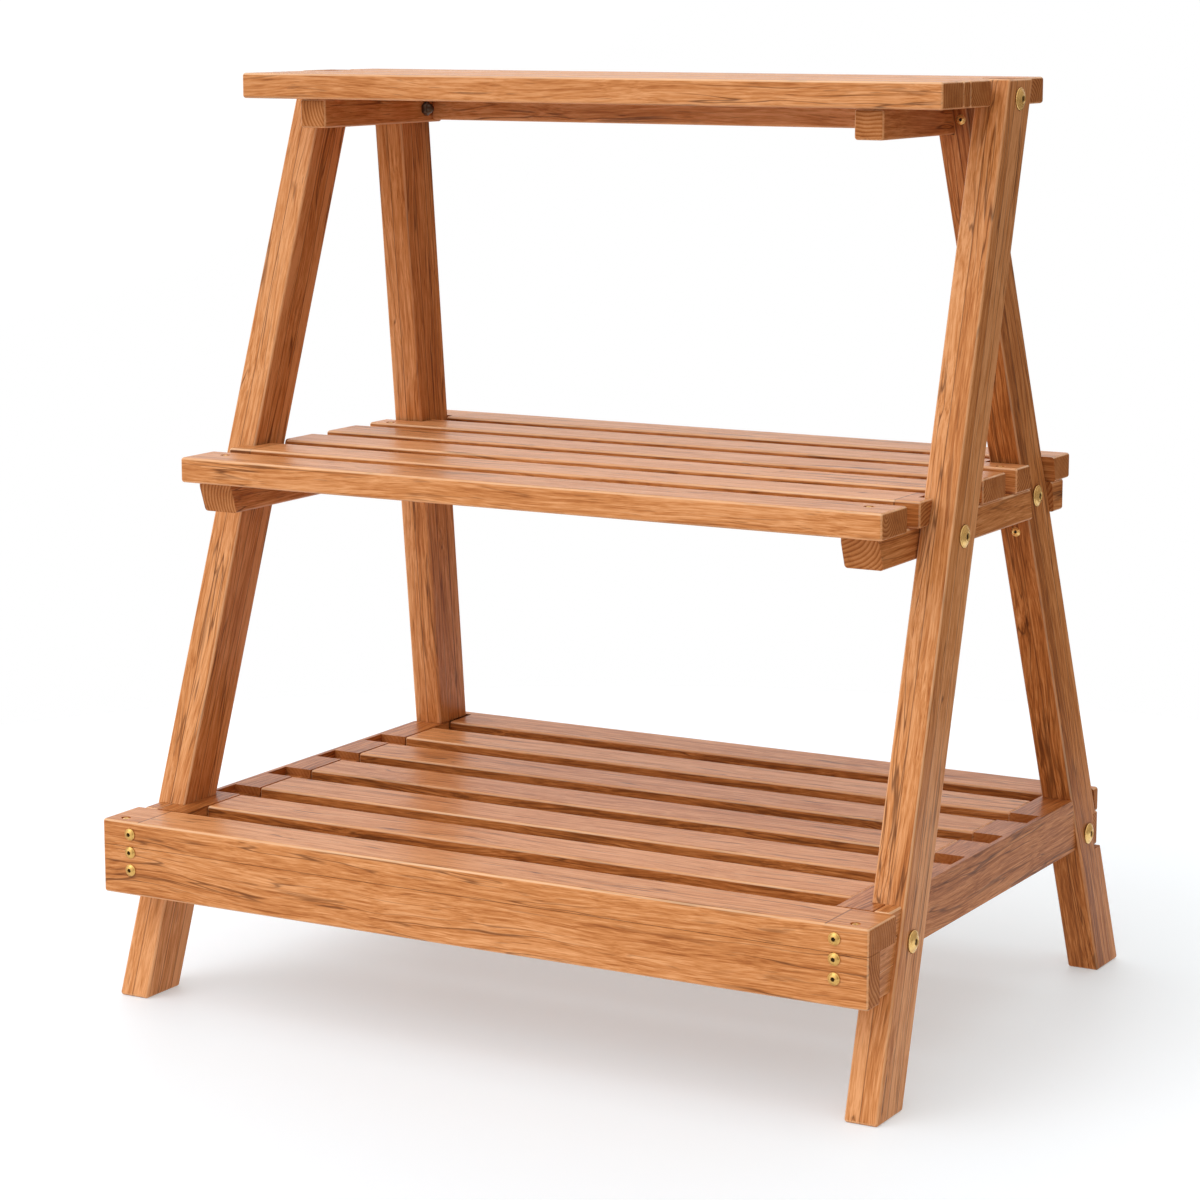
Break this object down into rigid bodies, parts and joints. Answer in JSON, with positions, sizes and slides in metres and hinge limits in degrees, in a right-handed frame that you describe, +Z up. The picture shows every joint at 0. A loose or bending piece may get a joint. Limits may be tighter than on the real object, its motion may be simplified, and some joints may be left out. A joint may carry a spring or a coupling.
{
  "type": "plant stand",
  "caption": "Tiered A-frame plant stand: slatted wooden shelves on leaning, splayed legs, joined with domed brass bolts, to hold potted plants.",
  "frame": {"origin": "centre of the footprint at floor level", "axes": "+X to the viewer's right when facing the low front shelf, +Y towards the back, +Z up"},
  "size_m": [0.7016, 0.5386, 0.766],
  "materials": {
    "oiled_wood": "oiled, honey brown, semi-gloss",
    "brass": "polished",
    "dark_steel": "black oxide"
  },
  "bodies": {
    "root": {"corner_block_left": "oiled_wood", "corner_block_right": "oiled_wood", "corner_cap_left": "oiled_wood", "corner_cap_right": "oiled_wood", "front_apron_screws": "brass", "front_leg_left": "oiled_wood", "front_leg_right": "oiled_wood", "leg_bolts": "brass", "leg_lock_screws": "brass", "leg_nuts": "dark_steel", "lower_front_apron": "oiled_wood", "lower_rail_left": "oiled_wood", "lower_rail_right": "oiled_wood", "lower_rear_apron": "oiled_wood", "lower_slat_1": "oiled_wood", "lower_slat_2": "oiled_wood", "lower_slat_3": "oiled_wood", "lower_slat_4": "oiled_wood", "lower_slat_5": "oiled_wood", "lower_slat_6": "oiled_wood", "lower_slat_7": "oiled_wood", "mid_bearer_left": "oiled_wood", "mid_bearer_right": "oiled_wood", "mid_slat_1": "oiled_wood", "mid_slat_2": "oiled_wood", "mid_slat_3": "oiled_wood", "mid_slat_4": "oiled_wood", "mid_slat_5": "oiled_wood", "mid_slat_6": "oiled_wood", "rear_apron_screws": "brass", "rear_leg_left": "oiled_wood", "rear_leg_right": "oiled_wood", "slat_screws": "brass", "top_bearer_left": "oiled_wood", "top_bearer_right": "oiled_wood", "top_end_block_left": "oiled_wood", "top_end_block_right": "oiled_wood", "top_slat_1": "oiled_wood", "top_slat_2": "oiled_wood", "top_slat_3": "oiled_wood", "top_slat_4": "oiled_wood", "top_stretcher": "oiled_wood"}
  },
  "joints": []
}
